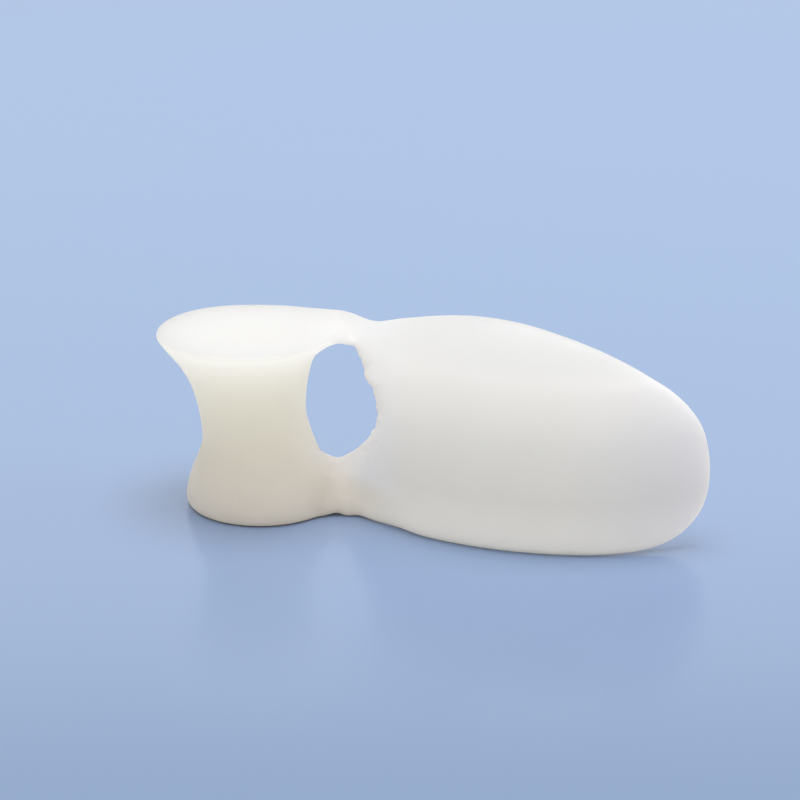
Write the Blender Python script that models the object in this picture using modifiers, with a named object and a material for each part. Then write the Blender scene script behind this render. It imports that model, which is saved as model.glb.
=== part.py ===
"""A toe separator with a shield, moulded in one piece from soft white gel.

A waisted spool sits between two toes. A top strap and a low strap join it to a thin domed shield that lies
along the side of the foot. The spool, the straps and the shield's near edge ring the toe hole.

Metres, +Z up. The spool's waist stands on the Z axis and its flat base lies on Z = 0. The shield reaches out
towards +X, and its hollow side faces +Y. The body is one coarse cage that is then smoothed, so the finished
surface lies a little inside the sizes given here, which are those of the cage.
"""

import math

import bmesh
import bpy
from mathutils import Vector

NAME = "toe_separator"

# Spool: rings of cage vertices from the base up; a ring's first sides are those where the straps leave
RING_SIDES = 12
FIRST_SIDE_ANGLE = math.radians(-20.0)
SPOOL_HEIGHT = 0.0244
FOOT_RADIUS = 0.0111
FOOT_ROUND = 0.0018
FOOT_EDGE_INSET = 0.00045
FOOT_WIDEST_HEIGHT = 0.0016
FOOT_OFFSET = Vector((0.0010, 0.0010, 0.0))
NECK_SHARE = 0.5
WAIST_RADIUS = 0.0072
WAIST_HEIGHT = 0.0118
WAIST_SPAN = 0.0031
WAIST_TILT = 0.25
THROAT_CLIMB = 0.66
THROAT_FLARE = 0.24
THROAT_TILT = 0.17
FLANGE_RADIUS = 0.0140
FLANGE_RIM = 0.0017
FLANGE_UNDERCUT = 0.0020
FLANGE_OFFSET = Vector((-0.0005, 0.0009, 0.0))
FACE_SHARES = (0.78, 0.40)
FLANGE_INSETS = (0.0014, 0.0014, -0.0013, 0.0, 0.0010)

# Shield: where its front line runs, seen from above
TOE_GAP = 0.0084
RIM_FRONT = 0.0082
RIM_HEADING = math.radians(-46.2)
FRONT_RADIUS = 0.0399
TIP_RADIUS = 0.0222
SHIELD_LENGTH = 0.0495

# Shield: its outline, seen from the front
SHIELD_HEIGHT = 0.0310
NOTCH_RISE = 0.0003
NOTCH_LENGTH = 0.0280
TIP_HEIGHT = 0.0097
TIP_LOWER_LENGTH = 0.0091
TIP_UPPER_LENGTH = 0.0406

# Shield: its section, from the lower edge to the upper edge
WALL = 0.0027
EDGE_WALL = 0.0013
FULLEST_SHARE = 0.36
TUCK = 0.0010
LEAN_AT_HOLE = 0.0112
LEAN_AT_CROWN = 0.0104
LEAN_AT_TIP = 0.0017
CROWN_SHARE = 0.38
TURN_AT_HOLE = math.radians(85.0)
TURN_AT_TIP = math.radians(45.0)

# Shield: shares of its length and of its section at which the cage has columns and rows
COLUMN_SHARES = (0.0, 0.10, 0.22, 0.38, 0.56, 0.74, 0.89, 0.975)
ROW_SHARES = (0.0, 0.06, 0.14, 0.24, 0.42, 0.60, 0.78, 0.91, 1.0)
RIM_ROW_SHARES = (0.0, 0.08, 0.20, 0.39, 0.50, 0.63, 0.78, 0.91, 1.0)

# Toe hole: how far its corners reach towards the spool, and the shares of that taken where the reach begins
LOW_CORNER_REACH = 0.0031
TOP_CORNER_REACH = 0.0053
SILL_REACH_SHARE = 0.47
LINTEL_REACH_SHARE = 0.74
SECOND_COLUMN_REACH_SHARE = 0.32
SILL_RISE = 0.0026
SILL_SET_BACK = 0.0038

# Creases, from 0 for smooth to 1 for sharp: the straps' roots, the low strap's front edge, the hole's corner
LOW_ROOT_CREASE = 0.42
LOW_EDGE_CREASE = 0.40
TOP_ROOT_CREASE = 0.3
LINTEL_CREASE = 0.43

# Low strap: its section's corners are shares of its depth and of its height at that depth
LOW_STRAP_SECTION = (
    (0.0, 0.0), (0.6, 0.0), (1.0, 0.0), (1.0, 0.5), (1.0, 1.0), (0.35, 0.96), (0.0, 0.8), (0.0, 0.4),
)
LOW_STRAP_DEPTH = 0.0097
LOW_STRAP_BULGE = 0.0005
LOW_STRAP_FRONT_HEIGHT = 0.0060
LOW_STRAP_BACK_HEIGHT = 0.0048

# Top strap
TOP_STRAP_RISE = 0.0005
TOP_STRAP_SET_BACK = 0.0006

# Cage: sides of the spool that a strap takes off, and rows of the shield at the toe hole's two corners
STRAP_SIDES = len(LOW_STRAP_SECTION) // 2 - 2
SILL_ROW = STRAP_SIDES + 1
LINTEL_ROW = len(ROW_SHARES) - 1 - STRAP_SIDES
SMOOTHING_LEVELS = 2

GEL_COLOUR = (0.83, 0.81, 0.76, 1.0)
GEL_ROUGHNESS = 0.45


def mix(start, end, share):
    """The value that lies a share of the way from start to end."""
    return start + (end - start) * share


def clear_scene():
    for thing in list(bpy.data.objects):
        bpy.data.objects.remove(thing)


def gel_material():
    material = bpy.data.materials.new("gel")
    material.use_nodes = True
    shader = material.node_tree.nodes["Principled BSDF"]
    shader.inputs["Base Color"].default_value = GEL_COLOUR
    shader.inputs["Roughness"].default_value = GEL_ROUGHNESS
    shader.inputs["Metallic"].default_value = 0.0
    material.diffuse_color = GEL_COLOUR
    return material


def add_ring(bm, height, radius, offset=Vector(), tilt=0.0):
    """A ring of vertices around the spool; tilt is its rise for each metre towards +X."""
    ring = []
    for side in range(RING_SIDES):
        angle = FIRST_SIDE_ANGLE + math.tau * side / RING_SIDES
        x = radius * math.cos(angle)
        y = radius * math.sin(angle)
        ring.append(bm.verts.new(Vector((x, y, height + tilt * x)) + offset))
    return ring


def add_band(bm, lower, upper, open_sides=()):
    """Faces between two loops of vertices, except where a strap takes off."""
    count = len(lower)
    for side in range(count):
        if side not in open_sides:
            after = (side + 1) % count
            bm.faces.new((lower[side], lower[after], upper[after], upper[side]))


def crease_along(bm, line, sharpness):
    """Creases the edges that join a line of vertices."""
    layer = bm.edges.layers.float.get("crease_edge") or bm.edges.layers.float.new("crease_edge")
    for start, end in zip(line, line[1:]):
        bm.edges.get((start, end))[layer] = sharpness


def strap_root(lower, middle, upper):
    """The vertices of a strap's root on the spool, in order around its opening."""
    root = lower[:STRAP_SIDES + 1]
    if middle:
        root.append(middle[STRAP_SIDES])
    root.extend(reversed(upper[:STRAP_SIDES + 1]))
    if middle:
        root.append(middle[0])
    return root


def add_spool(bm):
    """The spool's closed skin with an opening for each strap, whose vertices are returned."""
    waist_low = WAIST_HEIGHT - WAIST_SPAN / 2
    waist_high = WAIST_HEIGHT + WAIST_SPAN / 2
    under_height = SPOOL_HEIGHT - FLANGE_RIM
    under_radius = FLANGE_RADIUS - FLANGE_UNDERCUT
    flat_radius = FOOT_RADIUS - FOOT_ROUND
    neck_height = mix(FOOT_WIDEST_HEIGHT, waist_low, NECK_SHARE)
    neck_radius = mix(FOOT_RADIUS, WAIST_RADIUS, NECK_SHARE)
    throat_height = mix(waist_high, under_height, THROAT_CLIMB)
    throat_radius = mix(WAIST_RADIUS, under_radius, THROAT_FLARE)

    base_inner = add_ring(bm, 0.0, flat_radius / 2, FOOT_OFFSET)
    base_outer = add_ring(bm, 0.0, flat_radius, FOOT_OFFSET)
    foot_low = add_ring(bm, 0.0, FOOT_RADIUS - FOOT_EDGE_INSET, FOOT_OFFSET)
    foot_wide = add_ring(bm, FOOT_WIDEST_HEIGHT, FOOT_RADIUS, FOOT_OFFSET)
    foot_neck = add_ring(bm, neck_height, neck_radius, FOOT_OFFSET / 2)
    waist_lower = add_ring(bm, waist_low, WAIST_RADIUS, tilt=WAIST_TILT)
    waist_upper = add_ring(bm, waist_high, WAIST_RADIUS, tilt=WAIST_TILT)
    throat = add_ring(bm, throat_height, throat_radius, FLANGE_OFFSET / 2, THROAT_TILT)
    flange_under = add_ring(bm, under_height, under_radius, FLANGE_OFFSET)
    flange_over = add_ring(bm, SPOOL_HEIGHT, FLANGE_RADIUS, FLANGE_OFFSET)
    face_outer, face_inner = (
        add_ring(bm, SPOOL_HEIGHT, FLANGE_RADIUS * share, FLANGE_OFFSET) for share in FACE_SHARES
    )

    # The flange is drawn in where the top strap leaves it, and out beside the strap's back edge
    for ring in (flange_under, flange_over):
        for vertex, inset in zip(ring, FLANGE_INSETS):
            outwards = (vertex.co - FLANGE_OFFSET).to_2d().normalized().to_3d()
            vertex.co -= outwards * inset
    strap_open = range(STRAP_SIDES)

    bm.faces.new(reversed(base_inner))
    add_band(bm, base_inner, base_outer)
    add_band(bm, base_outer, foot_low)
    add_band(bm, foot_low, foot_wide, strap_open)
    add_band(bm, foot_wide, foot_neck, strap_open)
    add_band(bm, foot_neck, waist_lower)
    add_band(bm, waist_lower, waist_upper)
    add_band(bm, waist_upper, throat)
    add_band(bm, throat, flange_under)
    add_band(bm, flange_under, flange_over, strap_open)
    add_band(bm, flange_over, face_outer)
    add_band(bm, face_outer, face_inner)
    bm.faces.new(face_inner)

    low_root = strap_root(foot_low, foot_wide, foot_neck)
    top_root = strap_root(flange_under, None, flange_over)
    crease_along(bm, foot_neck[:STRAP_SIDES + 1], LOW_ROOT_CREASE)
    crease_along(bm, flange_under[:STRAP_SIDES + 1], TOP_ROOT_CREASE)
    return low_root, top_root


def along_arc(point, heading, radius, distance):
    """The point and heading reached from a point by turning left along an arc."""
    turned = heading + distance / radius
    x = point[0] + radius * (math.sin(turned) - math.sin(heading))
    y = point[1] - radius * (math.cos(turned) - math.cos(heading))
    return (x, y), turned


def front_line(distance):
    """The shield's front line from above: one arc until it runs along X, then a tighter one to the tip."""
    start = (WAIST_RADIUS + TOE_GAP, -RIM_FRONT)
    first_arc = -RIM_HEADING * FRONT_RADIUS
    if distance <= first_arc:
        return along_arc(start, RIM_HEADING, FRONT_RADIUS, distance)[0]
    bend, heading = along_arc(start, RIM_HEADING, FRONT_RADIUS, first_arc)
    return along_arc(bend, heading, TIP_RADIUS, distance - first_arc)[0]


def quarter_ellipse(share):
    return math.sqrt(max(0.0, 1.0 - share * share))


def edge_heights(distance):
    """Heights of the shield's lower and upper edges at a distance along its front line."""
    lower = 0.0
    into_lower = (distance - SHIELD_LENGTH + TIP_LOWER_LENGTH) / TIP_LOWER_LENGTH
    if into_lower > 0.0:
        lower = TIP_HEIGHT * (1.0 - quarter_ellipse(into_lower))
    upper = SHIELD_HEIGHT
    into_upper = (distance - SHIELD_LENGTH + TIP_UPPER_LENGTH) / TIP_UPPER_LENGTH
    if into_upper > 0.0:
        upper = mix(TIP_HEIGHT, SHIELD_HEIGHT, quarter_ellipse(into_upper))
    if distance < NOTCH_LENGTH:
        dip = SHIELD_HEIGHT - SPOOL_HEIGHT - NOTCH_RISE
        upper -= dip * (1.0 - distance / NOTCH_LENGTH) ** 2
    return lower, upper


def outline_reach(height):
    """The distance along the front line at which the tip's outline has a height."""
    if height < TIP_HEIGHT:
        share = (TIP_HEIGHT - height) / TIP_HEIGHT
        return SHIELD_LENGTH - TIP_LOWER_LENGTH * (1.0 - quarter_ellipse(share))
    share = (height - TIP_HEIGHT) / (SHIELD_HEIGHT - TIP_HEIGHT)
    return SHIELD_LENGTH - TIP_UPPER_LENGTH * (1.0 - quarter_ellipse(share))


def corner_pull(row):
    """How far a row's end at the toe hole reaches towards the spool."""
    if row < SILL_ROW:
        return LOW_CORNER_REACH
    if row == SILL_ROW:
        return SILL_REACH_SHARE * LOW_CORNER_REACH
    if row < LINTEL_ROW:
        return 0.0
    if row == LINTEL_ROW:
        return LINTEL_REACH_SHARE * TOP_CORNER_REACH
    return TOP_CORNER_REACH


def row_share(column, row):
    """A row's share of the section: gathered at the edges, set by the hole at one end, even at the tip."""
    near_hole = max(0.0, 1.0 - column / 2)
    near_tip = max(0.0, 1.0 - (len(COLUMN_SHARES) - 1 - column) / 2)
    share = mix(ROW_SHARES[row], RIM_ROW_SHARES[row], near_hole)
    return mix(share, row / (len(ROW_SHARES) - 1), near_tip)


def section_point(distance, share_along, share_up):
    """How far back and how high a point of the shield's section lies."""
    lower, upper = edge_heights(max(distance, 0.0))
    fullest = mix(lower, upper, FULLEST_SHARE)
    if share_up < FULLEST_SHARE:
        below = 1.0 - share_up / FULLEST_SHARE
        return TUCK * below ** 2, mix(fullest, lower, below)
    if share_along < CROWN_SHARE:
        lean = mix(LEAN_AT_HOLE, LEAN_AT_CROWN, share_along / CROWN_SHARE)
    else:
        lean = mix(LEAN_AT_CROWN, LEAN_AT_TIP, (share_along - CROWN_SHARE) / (1.0 - CROWN_SHARE))
    turn = mix(TURN_AT_HOLE, TURN_AT_TIP, share_along)
    turned = turn * (share_up - FULLEST_SHARE) / (1.0 - FULLEST_SHARE)
    back = lean * (1.0 - math.cos(turned)) / (1.0 - math.cos(turn))
    return back, mix(fullest, upper, math.sin(turned) / math.sin(turn))


def shield_point(column, row):
    """A point of the shield's outer face."""
    share_along = COLUMN_SHARES[column]
    distance = share_along * SHIELD_LENGTH
    if column == 0:
        distance -= corner_pull(row)
    if column == 1:
        distance -= SECOND_COLUMN_REACH_SHARE * corner_pull(row)
    back, height = section_point(distance, share_along, row_share(column, row))
    if column == len(COLUMN_SHARES) - 1:
        distance = outline_reach(height)
    x, y = front_line(distance)
    return Vector((x, y + back, height))


def wall_at(column, row):
    """The shield's thickness, thinner along its free edges."""
    if row in (0, len(ROW_SHARES) - 1) or column == len(COLUMN_SHARES) - 1:
        return EDGE_WALL
    if column == 0:
        return (WALL + EDGE_WALL) / 2
    return WALL


def add_shield(bm):
    """The shield's outer and inner sheets, closed along its free edges; both grids are returned."""
    columns = range(len(COLUMN_SHARES))
    rows = range(len(ROW_SHARES))
    outer = [[bm.verts.new(shield_point(column, row)) for row in rows] for column in columns]
    sheet = []
    for column in columns[:-1]:
        near, far = outer[column], outer[column + 1]
        for row in rows[:-1]:
            sheet.append(bm.faces.new((near[row], far[row], far[row + 1], near[row + 1])))
    bm.normal_update()

    inner = []
    for column in columns:
        line = []
        for row in rows:
            vertex = outer[column][row]
            place = vertex.co - vertex.normal * wall_at(column, row)
            if row == 0:
                place.z = vertex.co.z
            if column == 0 and row == SILL_ROW:
                place += Vector((0.0, SILL_SET_BACK, SILL_RISE))
            line.append(bm.verts.new(place))
        inner.append(line)

    for column in columns[:-1]:
        near, far = inner[column], inner[column + 1]
        for row in rows[:-1]:
            bm.faces.new((near[row], near[row + 1], far[row + 1], far[row]))
        bm.faces.new((outer[column + 1][0], outer[column][0], near[0], far[0]))
        bm.faces.new((outer[column][-1], outer[column + 1][-1], far[-1], near[-1]))
    for row in rows[:-1]:
        bm.faces.new((outer[-1][row], inner[-1][row], inner[-1][row + 1], outer[-1][row + 1]))
    for row in range(SILL_ROW, LINTEL_ROW):
        bm.faces.new((inner[0][row], outer[0][row], outer[0][row + 1], inner[0][row + 1]))
    crease_along(bm, (outer[0][LINTEL_ROW], inner[0][LINTEL_ROW]), LINTEL_CREASE)
    return outer, inner


def add_low_strap(bm, root, outer, inner):
    """The low strap: a deep bar on the ground with a sill that rises towards the back."""
    end = [outer[0][0], *inner[0][:SILL_ROW + 1], *reversed(outer[0][1:SILL_ROW + 1])]
    front = (root[0].co + end[0].co) / 2
    middle = []
    for across, up in LOW_STRAP_SECTION:
        height = up * mix(LOW_STRAP_FRONT_HEIGHT, LOW_STRAP_BACK_HEIGHT, across)
        back = across * LOW_STRAP_DEPTH - LOW_STRAP_BULGE
        middle.append(bm.verts.new((front.x, front.y + back, height)))
    add_band(bm, root, middle)
    add_band(bm, middle, end)
    crease_along(bm, (root[0], middle[0], end[0]), LOW_EDGE_CREASE)


def add_top_strap(bm, root, outer, inner):
    """The top strap: a thin band that runs on from the flange into the shield's upper edge."""
    end = [*inner[0][LINTEL_ROW:], *reversed(outer[0][LINTEL_ROW:])]
    lift = Vector((0.0, TOP_STRAP_SET_BACK, TOP_STRAP_RISE))
    middle = [bm.verts.new((near.co + far.co) / 2 + lift) for near, far in zip(root, end)]
    add_band(bm, root, middle)
    add_band(bm, middle, end)


def build_toe_separator(collection):
    bm = bmesh.new()
    outer, inner = add_shield(bm)
    low_root, top_root = add_spool(bm)
    add_low_strap(bm, low_root, outer, inner)
    add_top_strap(bm, top_root, outer, inner)
    loose = [vertex for vertex in bm.verts if not vertex.link_faces]
    bmesh.ops.delete(bm, geom=loose, context="VERTS")

    mesh = bpy.data.meshes.new(NAME)
    bm.to_mesh(mesh)
    bm.free()
    mesh.shade_smooth()
    mesh.materials.append(gel_material())
    body = bpy.data.objects.new(NAME, mesh)
    collection.objects.link(body)

    smooth = body.modifiers.new("Smooth", "SUBSURF")
    smooth.levels = SMOOTHING_LEVELS
    smooth.render_levels = SMOOTHING_LEVELS
    return body


def main():
    clear_scene()
    collection = bpy.data.collections.new("toe separator")
    bpy.context.scene.collection.children.link(collection)
    build_toe_separator(collection)


main()
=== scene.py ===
"""The looks of the toe separator: one moulding of soft white gel on a pale blue studio floor.

Metres, in the frame's own axes: +Z up from the spool's base, +X from the spool to the tip.
"""

import math

import bmesh
import bpy
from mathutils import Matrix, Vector, noise


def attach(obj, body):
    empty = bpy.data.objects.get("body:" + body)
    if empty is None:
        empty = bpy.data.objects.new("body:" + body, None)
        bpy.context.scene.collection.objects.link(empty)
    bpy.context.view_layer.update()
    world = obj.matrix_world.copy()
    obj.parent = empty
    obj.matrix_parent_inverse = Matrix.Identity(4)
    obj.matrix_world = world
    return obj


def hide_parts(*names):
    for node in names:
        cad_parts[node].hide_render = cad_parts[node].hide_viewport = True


BODY = "toe_separator"
WHITE = (1.0, 1.0, 1.0, 1.0)

# Camera: a pinhole at the photograph's place
PHOTO_PIXELS = 800
FOCAL_PIXELS = 2505
SENSOR_MM = 36.0
CAMERA_AIM = Vector((0.01951, 0.0, 0.01470))
CAMERA_PITCH = math.radians(19.28)
CAMERA_DISTANCE = 0.334

# World: how bright the dome lights, how bright it is mirrored, and the colour past the floor
DOME_LEVEL = 0.545
MIRRORED_LEVEL = 0.92
BACKDROP_COLOUR = (0.45, 0.57, 0.80, 1.0)

# Lamps
TOP_LAMP_PLACE = Vector((0.02, 0.0, 0.70))
TOP_LAMP_SIZE = 0.50
TOP_LAMP_POWER = 3.24
SIDE_LAMP_PLACE = Vector((0.65, 0.0, 0.35))
SIDE_LAMP_SIZE = 0.40
SIDE_LAMP_POWER = 0.75

# Floor: its seen colour at each Y, painted darker nearest the camera as a falloff of light, and
# the neutral colour with which it lights the gel
FLOOR_HALF = 3.0
FLOOR_COLOURS = (
    (-0.080, (0.178, 0.282, 0.473)),
    (-0.045, (0.222, 0.328, 0.541)),
    (0.000, (0.247, 0.363, 0.601)),
    (0.100, (0.229, 0.373, 0.628)),
    (0.200, (0.215, 0.371, 0.671)),
    (0.350, (0.172, 0.364, 0.726)),
)
FLOOR_BOUNCE = (0.68, 0.68, 0.68, 1.0)
FLOOR_IOR = 1.8
FLOOR_ROUGHNESS = 0.19

# Shape: vertices nearer than this are one, and steps that halve the faces
WELD_DISTANCE = 1e-6
FINER_STEPS = 2

# Shape: boxes that hold the top strap, the low strap's front and the shield's edge at the toe hole
OPEN = math.inf
TOP_STRAP_BOX = ((0.0100, 0.0165), (-OPEN, OPEN), (0.0232, OPEN))
LOW_STRAP_BOX = ((0.0085, 0.0150), (-OPEN, 0.0010), (0.0006, 0.0052))
HOLE_EDGE_BOX = ((0.0130, 0.0185), (-OPEN, 0.0005), (0.0085, 0.0215))

# Shape: the flange's rim lies outside this circle and above this height
FLANGE_MIDDLE = (-0.0005, 0.0009)
RIM_RADIUS = 0.0112
RIM_HEIGHT = 0.0222

# Shape: rounds of smoothing on each of these, and how far a round draws a vertex to its neighbours
TOP_STRAP_ROUNDS = 10
RIM_ROUNDS = 5
LOW_STRAP_ROUNDS = 8
SMOOTH_SHARE = 0.5

# Shape: small pulls that fit the outline to the photograph: middle, reach and move of each
PULLS = (
    (Vector((0.0112, -0.0034, 0.0006)), 0.0038, Vector((0.0, -0.0017, 0.0))),
    (Vector((0.0190, -0.0095, 0.0005)), 0.0040, Vector((0.0, 0.0007, 0.0))),
    (Vector((0.0102, 0.0035, 0.0056)), 0.0022, Vector((0.0, 0.0, -0.0009))),
    (Vector((0.0137, 0.0008, 0.0223)), 0.0016, Vector((0.0005, 0.0, 0.0005))),
    (Vector((0.0138, 0.0060, 0.0247)), 0.0030, Vector((0.0, 0.0, 0.0003))),
    (Vector((0.0164, 0.0018, 0.0250)), 0.0038, Vector((0.0, 0.0, -0.0004))),
    (Vector((0.0105, 0.0078, 0.0242)), 0.0050, Vector((0.0, 0.0005, 0.0003))),
    (Vector((0.0010, 0.0125, 0.0242)), 0.0060, Vector((0.0, -0.0004, 0.0))),
    (Vector((0.0560, -0.0138, 0.0185)), 0.0060, Vector((0.0001, 0.0, 0.0001))),
    (Vector((0.0380, -0.0040, 0.0250)), 0.0090, Vector((0.0, 0.0, 0.0003))),
    (Vector((0.0167, -0.0068, 0.0148)), 0.0030, Vector((0.0003, 0.0, 0.0))),
)

# Detail: ragged flash, with one tear, on the shield's edge at the toe hole, where the surface
# faces the spool
FLASH_FACING = 0.70
FLASH_FACING_SPREAD = 0.20
FLASH_HEIGHT = 0.00030
FLASH_PITCH = 0.0008
FLASH_LOWEST = -0.3
TEAR_HEIGHT = 0.00042
TEAR_PLACE = 0.0192
TEAR_SPREAD = 0.0007

# Detail: faint flow marks beside the low strap, which rise along X, and a soft unevenness all over
FLOW_PLACE = Vector((0.0192, -0.0088, 0.0080))
FLOW_REACH = 0.0050
FLOW_DEPTH = 0.00012
FLOW_LENGTH = 0.0016
FLOW_WIDTH = 0.0006
FLOW_SLOPE = 0.35
UNEVEN_DEPTH = 0.00003
UNEVEN_PITCH = 0.009

# Gel: the furthest that light runs in it
GEL_IOR = 1.41
GEL_DEPTH = 0.060

# Gel: where along X the spool's look passes into the shield's; up to LEAN_TOP that place leans
# back over the spool, by LEAN for each metre of height
SHIELD_X = (0.0108, 0.0178)
LEAN = 0.6
LEAN_TOP = 0.008

# Gel: colours, and shares of the furthest run, at even steps of height up to RAMP_TOP
RAMP_TOP = 0.030
# The spool's colours: the gel's own cream, with painted shade that darkens them towards the base
SPOOL_CREAM_AND_SHADE = (
    (0.873, 0.796, 0.718),
    (0.910, 0.804, 0.685),
    (0.950, 0.838, 0.665),
    (0.950, 0.860, 0.710),
    (0.949, 0.862, 0.720),
)
# Painted shade: the shield's colours darken from a little above the floor, darkest about 7 mm up,
# and are near white at its base and top
SHIELD_COLOURS_AND_SHADE = (
    (0.942, 0.936, 0.918),
    (0.823, 0.818, 0.798),
    (0.855, 0.850, 0.832),
    (0.925, 0.900, 0.864),
    (0.940, 0.908, 0.868),
)
SPOOL_RUNS = (0.047, 0.363, 0.58, 0.58, 0.415)
SHIELD_RUNS = (0.033, 0.043, 0.048, 0.103, 0.553)

# Gel: painted shade and light on the shield towards its tip, beside the toe hole and on the low
# strap
TIP_X = (0.038, 0.058)
# Painted shade with a blue bounce: the shield grows darker and bluer towards its tip
TIP_PAINTED_BLUE_SHADE = (0.91, 0.915, 0.97, 1.0)
HOLE_RIM_X = (0.0145, 0.0215)
# Painted light: the shield beside the toe hole is brighter and bluer
HOLE_RIM_PAINTED_LIGHT = (1.015, 1.04, 1.12, 1.0)
LOW_STRAP_Z = (0.0035, 0.0075)
# Painted shade: darker on the low strap, in the corner between the spool and the shield
LOW_STRAP_PAINTED_SHADE = (0.94, 0.93, 0.915, 1.0)

# Gel: the flange's flat top, told by how far the surface faces up and by its height. Its colour is
# painted shade, darker than the spool's, that tones down the top lamp's light there
TOP_FACING = (0.55, 1.0)
TOP_Z = (0.019, 0.023)
TOP_PAINTED_SHADE = (0.76, 0.752, 0.725, 1.0)
TOP_RUN = 0.45

# Gel: faint mottling, uneven gloss and a fine skin, from noise that lies nearly all in NOISE_RANGE
NOISE_RANGE = (0.3, 0.7)
MOTTLE_PITCH = 0.006
MOTTLE_RANGE = (0.985, 1.0)
GLOSS_PITCH = 0.003
GLOSS_RANGE = (0.38, 0.46)
SKIN_PITCH = 0.0008
SKIN_RANGE = (0.0, 1.0)
SKIN_DEPTH = 0.00001


def link_to_scene(thing):
    bpy.context.scene.collection.objects.link(thing)


def make_camera():
    data = bpy.data.cameras.new("camera")
    data.sensor_width = SENSOR_MM
    data.lens = FOCAL_PIXELS / PHOTO_PIXELS * SENSOR_MM
    camera = bpy.data.objects.new("camera", data)
    away = Vector((0.0, -math.cos(CAMERA_PITCH), math.sin(CAMERA_PITCH)))
    camera.location = CAMERA_AIM + away * CAMERA_DISTANCE
    camera.rotation_euler = (math.pi / 2 - CAMERA_PITCH, 0.0, 0.0)
    link_to_scene(camera)
    bpy.context.scene.camera = camera


def background(tree, colour, strength):
    node = tree.nodes.new("ShaderNodeBackground")
    node.inputs["Color"].default_value = colour
    node.inputs["Strength"].default_value = strength
    return node.outputs["Background"]


def make_world():
    """A uniform dome, brighter in reflections. The camera sees the backdrop past the floor."""
    world = bpy.data.worlds.new("dome")
    bpy.context.scene.world = world
    world.use_nodes = True
    tree = world.node_tree
    tree.nodes.clear()
    output = tree.nodes.new("ShaderNodeOutputWorld")
    path = tree.nodes.new("ShaderNodeLightPath")
    shader = background(tree, WHITE, DOME_LEVEL)
    for ray, other in (
        ("Is Glossy Ray", background(tree, WHITE, MIRRORED_LEVEL)),
        ("Is Camera Ray", background(tree, BACKDROP_COLOUR, 1.0)),
    ):
        blend = tree.nodes.new("ShaderNodeMixShader")
        tree.links.new(path.outputs[ray], blend.inputs["Fac"])
        tree.links.new(shader, blend.inputs[1])
        tree.links.new(other, blend.inputs[2])
        shader = blend.outputs["Shader"]
    tree.links.new(shader, output.inputs["Surface"])


def make_lamp(name, place, size, power):
    """A square lamp that looks at the part."""
    data = bpy.data.lights.new(name, "AREA")
    data.shape = "SQUARE"
    data.size = size
    data.energy = power
    lamp = bpy.data.objects.new(name, data)
    lamp.location = place
    lamp.rotation_euler = (CAMERA_AIM - place).to_track_quat("-Z", "Y").to_euler()
    link_to_scene(lamp)


def split_axes(tree, vector):
    """The X, Y and Z sockets of a vector."""
    split = tree.nodes.new("ShaderNodeSeparateXYZ")
    tree.links.new(vector, split.inputs["Vector"])
    return split.outputs


def math_node(tree, operation, first, second):
    """The second value is a socket or a number."""
    node = tree.nodes.new("ShaderNodeMath")
    node.operation = operation
    tree.links.new(first, node.inputs[0])
    if isinstance(second, bpy.types.NodeSocket):
        tree.links.new(second, node.inputs[1])
    else:
        node.inputs[1].default_value = second
    return node.outputs["Value"]


def colour_mix(tree, factor, first, second, blend="MIX"):
    """The factor and both colours are sockets or plain values."""
    mixer = tree.nodes.new("ShaderNodeMix")
    mixer.data_type = "RGBA"
    mixer.blend_type = blend
    # The node names its sockets alike for each type of data: inputs 6 and 7 and output 2 are
    # the ones for colours
    for index, source in ((0, factor), (6, first), (7, second)):
        if isinstance(source, bpy.types.NodeSocket):
            tree.links.new(source, mixer.inputs[index])
        else:
            mixer.inputs[index].default_value = source
    return mixer.outputs[2]


def map_range(tree, value, source, target=(0.0, 1.0), rise="LINEAR"):
    """A value carried from one range to another, and held at its ends."""
    node = tree.nodes.new("ShaderNodeMapRange")
    node.interpolation_type = rise
    node.inputs["From Min"].default_value, node.inputs["From Max"].default_value = source
    node.inputs["To Min"].default_value, node.inputs["To Max"].default_value = target
    tree.links.new(value, node.inputs["Value"])
    return node.outputs["Result"]


def smooth_share(tree, value, limits):
    """Nothing at the first limit and one at the second, with a soft start and end."""
    return map_range(tree, value, limits, rise="SMOOTHSTEP")


def noise_between(tree, place, pitch, target):
    """A soft noise in object coordinates, spread over a range."""
    grain = tree.nodes.new("ShaderNodeTexNoise")
    grain.inputs["Scale"].default_value = 1.0 / pitch
    tree.links.new(place, grain.inputs["Vector"])
    return map_range(tree, grain.outputs["Fac"], NOISE_RANGE, target)


def colour_ramp(tree, share, stops):
    ramp = tree.nodes.new("ShaderNodeValToRGB")
    elements = ramp.color_ramp.elements
    while len(elements) < len(stops):
        elements.new(0.5)
    for element, (position, colour) in zip(elements, stops):
        element.position = position
        element.color = (*colour, 1.0)
    tree.links.new(share, ramp.inputs["Fac"])
    return ramp.outputs["Color"]


def even_ramp(tree, share, colours):
    """Colours at even steps."""
    last = len(colours) - 1
    stops = [(index / last, colour) for index, colour in enumerate(colours)]
    return colour_ramp(tree, share, stops)


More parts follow.
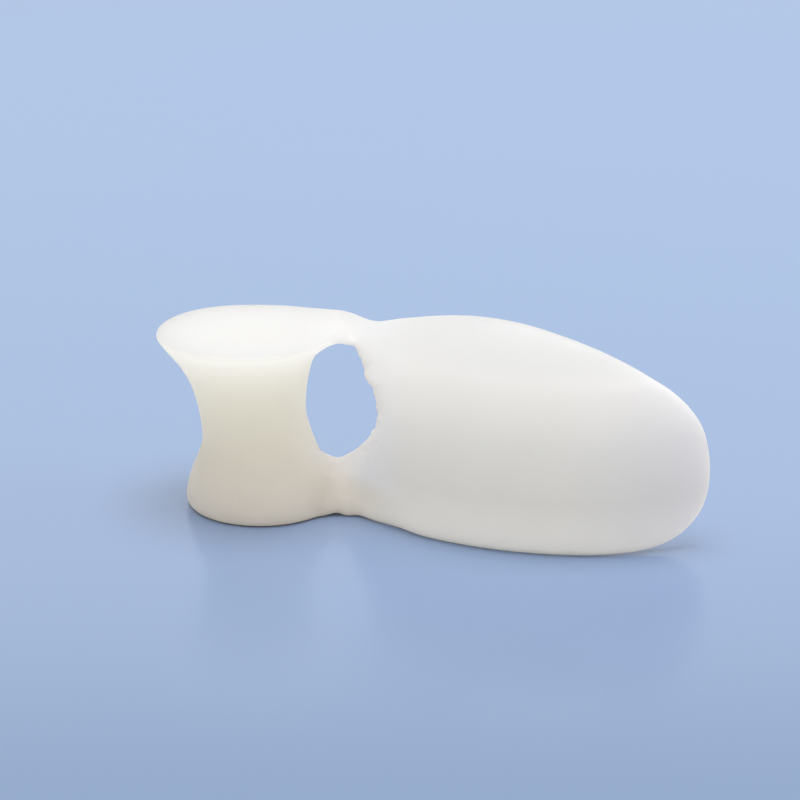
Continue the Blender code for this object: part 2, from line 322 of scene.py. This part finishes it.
def floor_material():
    """A satin floor that looks pale blue and throws a neutral light back on the gel."""
    material = bpy.data.materials.new("floor")
    material.use_nodes = True
    tree = material.node_tree
    shader = tree.nodes["Principled BSDF"]
    shader.inputs["IOR"].default_value = FLOOR_IOR
    shader.inputs["Roughness"].default_value = FLOOR_ROUGHNESS
    place = tree.nodes.new("ShaderNodeTexCoord").outputs["Object"]
    nearest, furthest = FLOOR_COLOURS[0][0], FLOOR_COLOURS[-1][0]
    share = map_range(tree, split_axes(tree, place)["Y"], (nearest, furthest))
    stops = [((y - nearest) / (furthest - nearest), colour) for y, colour in FLOOR_COLOURS]
    seen = colour_ramp(tree, share, stops)
    path = tree.nodes.new("ShaderNodeLightPath")
    colour = colour_mix(tree, path.outputs["Is Camera Ray"], FLOOR_BOUNCE, seen)
    tree.links.new(colour, shader.inputs["Base Color"])
    return material


def make_floor():
    mesh = bpy.data.meshes.new("floor")
    bm = bmesh.new()
    bmesh.ops.create_grid(bm, x_segments=1, y_segments=1, size=FLOOR_HALF)
    bm.to_mesh(mesh)
    bm.free()
    mesh.materials.append(floor_material())
    floor = bpy.data.objects.new("floor", mesh)
    link_to_scene(floor)


def gel_shares(tree, axes):
    """How much a place belongs to the shield, and to the flange's flat top."""
    lean = math_node(tree, "MULTIPLY", math_node(tree, "MINIMUM", axes["Z"], LEAN_TOP), LEAN)
    on_shield = smooth_share(tree, math_node(tree, "ADD", axes["X"], lean), SHIELD_X)
    normal = tree.nodes.new("ShaderNodeNewGeometry").outputs["Normal"]
    facing_up = smooth_share(tree, split_axes(tree, normal)["Z"], TOP_FACING)
    on_top = math_node(tree, "MULTIPLY", facing_up, smooth_share(tree, axes["Z"], TOP_Z))
    return on_shield, on_top


def gel_colour(tree, axes, height, on_shield, on_top):
    # The flange's top takes its painted shade in place of the spool's colours
    spool = colour_mix(tree, on_top, even_ramp(tree, height, SPOOL_CREAM_AND_SHADE), TOP_PAINTED_SHADE)
    shield = even_ramp(tree, height, SHIELD_COLOURS_AND_SHADE)
    # Painted shade: darker and bluer towards the tip
    shield = colour_mix(tree, smooth_share(tree, axes["X"], TIP_X), shield, TIP_PAINTED_BLUE_SHADE, "MULTIPLY")
    # Painted shade on the low strap, and painted light beside the toe hole above it
    above_strap = smooth_share(tree, axes["Z"], LOW_STRAP_Z)
    rim_tint = colour_mix(tree, above_strap, LOW_STRAP_PAINTED_SHADE, HOLE_RIM_PAINTED_LIGHT)
    tint = colour_mix(tree, smooth_share(tree, axes["X"], HOLE_RIM_X), rim_tint, WHITE)
    return colour_mix(tree, on_shield, spool, colour_mix(tree, 1.0, shield, tint, "MULTIPLY"))


def gel_run(tree, height, on_shield, on_top):
    """How far light runs in the gel, as a share of the furthest run."""
    spool = even_ramp(tree, height, [(run, run, run) for run in SPOOL_RUNS])
    spool = colour_mix(tree, on_top, spool, (TOP_RUN, TOP_RUN, TOP_RUN, 1.0))
    shield = even_ramp(tree, height, [(run, run, run) for run in SHIELD_RUNS])
    return colour_mix(tree, on_shield, spool, shield)


def gel_material():
    """Gel that is warm and deep in the thick spool, and neutral and shallow in the thin shield.
    Its colours also carry painted shade and painted light, which change with height and place.
    """
    material = bpy.data.materials.new("soft_gel")
    material.use_nodes = True
    tree = material.node_tree
    shader = tree.nodes["Principled BSDF"]
    shader.inputs["IOR"].default_value = GEL_IOR
    shader.inputs["Subsurface Weight"].default_value = 1.0
    shader.inputs["Subsurface Scale"].default_value = GEL_DEPTH

    place = tree.nodes.new("ShaderNodeTexCoord").outputs["Object"]
    axes = split_axes(tree, place)
    height = map_range(tree, axes["Z"], (0.0, RAMP_TOP))
    on_shield, on_top = gel_shares(tree, axes)
    mottle = noise_between(tree, place, MOTTLE_PITCH, MOTTLE_RANGE)
    colour = gel_colour(tree, axes, height, on_shield, on_top)
    colour = colour_mix(tree, 1.0, colour, mottle, "MULTIPLY")
    tree.links.new(colour, shader.inputs["Base Color"])
    run = gel_run(tree, height, on_shield, on_top)
    tree.links.new(run, shader.inputs["Subsurface Radius"])
    gloss = noise_between(tree, place, GLOSS_PITCH, GLOSS_RANGE)
    tree.links.new(gloss, shader.inputs["Roughness"])

    skin = tree.nodes.new("ShaderNodeBump")
    skin.inputs["Distance"].default_value = SKIN_DEPTH
    grain = noise_between(tree, place, SKIN_PITCH, SKIN_RANGE)
    tree.links.new(grain, skin.inputs["Height"])
    tree.links.new(skin.outputs["Normal"], shader.inputs["Normal"])
    return material


def falloff(distance, reach):
    """One at the middle and a smooth fall to nothing at the reach."""
    share = min(distance / reach, 1.0)
    return (1.0 - share * share) ** 2


def is_in(place, box):
    return all(low < value < high for value, (low, high) in zip(place, box))


def on_top_strap(place):
    return is_in(place, TOP_STRAP_BOX)


def on_flange_rim(place):
    away = math.hypot(place.x - FLANGE_MIDDLE[0], place.y - FLANGE_MIDDLE[1])
    return away > RIM_RADIUS and place.z > RIM_HEIGHT


def on_low_strap(place):
    return is_in(place, LOW_STRAP_BOX)


def smooth_where(bm, rounds, chosen):
    """Smooths the vertices that are chosen by their place before the first round."""
    vertices = [vertex for vertex in bm.verts if chosen(vertex.co)]
    for _ in range(rounds):
        bmesh.ops.smooth_vert(
            bm,
            verts=vertices,
            factor=SMOOTH_SHARE,
            use_axis_x=True,
            use_axis_y=True,
            use_axis_z=True,
        )


def softened(node):
    """The frame's faces paired back into quads, with straps and rim rounded and the pulls made."""
    bm = bmesh.new()
    bm.from_mesh(node.data)
    bmesh.ops.remove_doubles(bm, verts=bm.verts, dist=WELD_DISTANCE)
    bmesh.ops.join_triangles(
        bm, faces=bm.faces, angle_face_threshold=math.pi, angle_shape_threshold=math.pi
    )
    smooth_where(bm, TOP_STRAP_ROUNDS, on_top_strap)
    smooth_where(bm, RIM_ROUNDS, on_flange_rim)
    smooth_where(bm, LOW_STRAP_ROUNDS, on_low_strap)
    for middle, reach, move in PULLS:
        for vertex in bm.verts:
            away = (vertex.co - middle).length
            if away < reach:
                vertex.co += move * falloff(away, reach)
    return bm


def finer_mesh(bm):
    """A smooth mesh with the faces halved, made by a carrier that doesn't stay in the scene."""
    coarse = bpy.data.meshes.new("coarse")
    bm.to_mesh(coarse)
    bm.free()
    carrier = bpy.data.objects.new("carrier", coarse)
    link_to_scene(carrier)
    smooth = carrier.modifiers.new("smooth", "SUBSURF")
    smooth.levels = FINER_STEPS
    smooth.render_levels = FINER_STEPS
    bpy.context.view_layer.update()
    finished = carrier.evaluated_get(bpy.context.evaluated_depsgraph_get())
    mesh = bpy.data.meshes.new_from_object(finished)
    bpy.data.objects.remove(carrier)
    bpy.data.meshes.remove(coarse)
    return mesh


def flash_at(place, normal):
    """How far the moulding flash stands out from the shield's edge at the toe hole."""
    faces_hole = min(max((-normal.x - FLASH_FACING) / FLASH_FACING_SPREAD, 0.0), 1.0)
    if faces_hole == 0.0 or not is_in(place, HOLE_EDGE_BOX):
        return 0.0
    ragged = noise.noise(Vector((0.0, place.y, place.z)) / FLASH_PITCH)
    tear = math.exp(-(((place.z - TEAR_PLACE) / TEAR_SPREAD) ** 2))
    return faces_hole * (FLASH_HEIGHT * max(ragged, FLASH_LOWEST) + TEAR_HEIGHT * tear)


def flow_at(place):
    """The faint ripples that the gel's flow left beside the low strap."""
    reach = falloff((place - FLOW_PLACE).length, FLOW_REACH)
    if reach == 0.0:
        return 0.0
    across = (place.z - FLOW_SLOPE * place.x) / FLOW_WIDTH
    ripple = noise.noise(Vector((place.x / FLOW_LENGTH, place.y / FLOW_LENGTH, across)))
    return FLOW_DEPTH * reach * ripple


def add_surface_detail(mesh):
    """Moves each vertex by the flash, the flow marks and the unevenness, and none underground."""
    normals = [Vector(normal.vector) for normal in mesh.vertex_normals]
    for vertex, normal in zip(mesh.vertices, normals):
        place = Vector(vertex.co)
        out = flow_at(place) + UNEVEN_DEPTH * noise.noise(place / UNEVEN_PITCH)
        vertex.co = place + normal * out + Vector((-flash_at(place, normal), 0.0, 0.0))
        vertex.co.z = max(vertex.co.z, 0.0)
    mesh.update()


def make_gel_body(node):
    mesh = finer_mesh(softened(node))
    add_surface_detail(mesh)
    mesh.name = "gel_body"
    mesh.shade_smooth()
    mesh.materials.clear()
    mesh.materials.append(gel_material())
    body = bpy.data.objects.new("gel_body", mesh)
    link_to_scene(body)
    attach(body, "root")
    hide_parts(BODY)


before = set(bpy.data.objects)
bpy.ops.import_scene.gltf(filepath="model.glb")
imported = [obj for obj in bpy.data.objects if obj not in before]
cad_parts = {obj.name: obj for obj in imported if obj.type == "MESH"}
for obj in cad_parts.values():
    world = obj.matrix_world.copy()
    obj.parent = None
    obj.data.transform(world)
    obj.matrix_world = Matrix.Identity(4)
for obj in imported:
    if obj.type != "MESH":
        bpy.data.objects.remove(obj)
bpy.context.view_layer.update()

make_camera()
make_world()
make_lamp("top_lamp", TOP_LAMP_PLACE, TOP_LAMP_SIZE, TOP_LAMP_POWER)
make_lamp("side_lamp", SIDE_LAMP_PLACE, SIDE_LAMP_SIZE, SIDE_LAMP_POWER)
make_floor()
make_gel_body(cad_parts[BODY])
bpy.context.scene.view_settings.view_transform = "Standard"
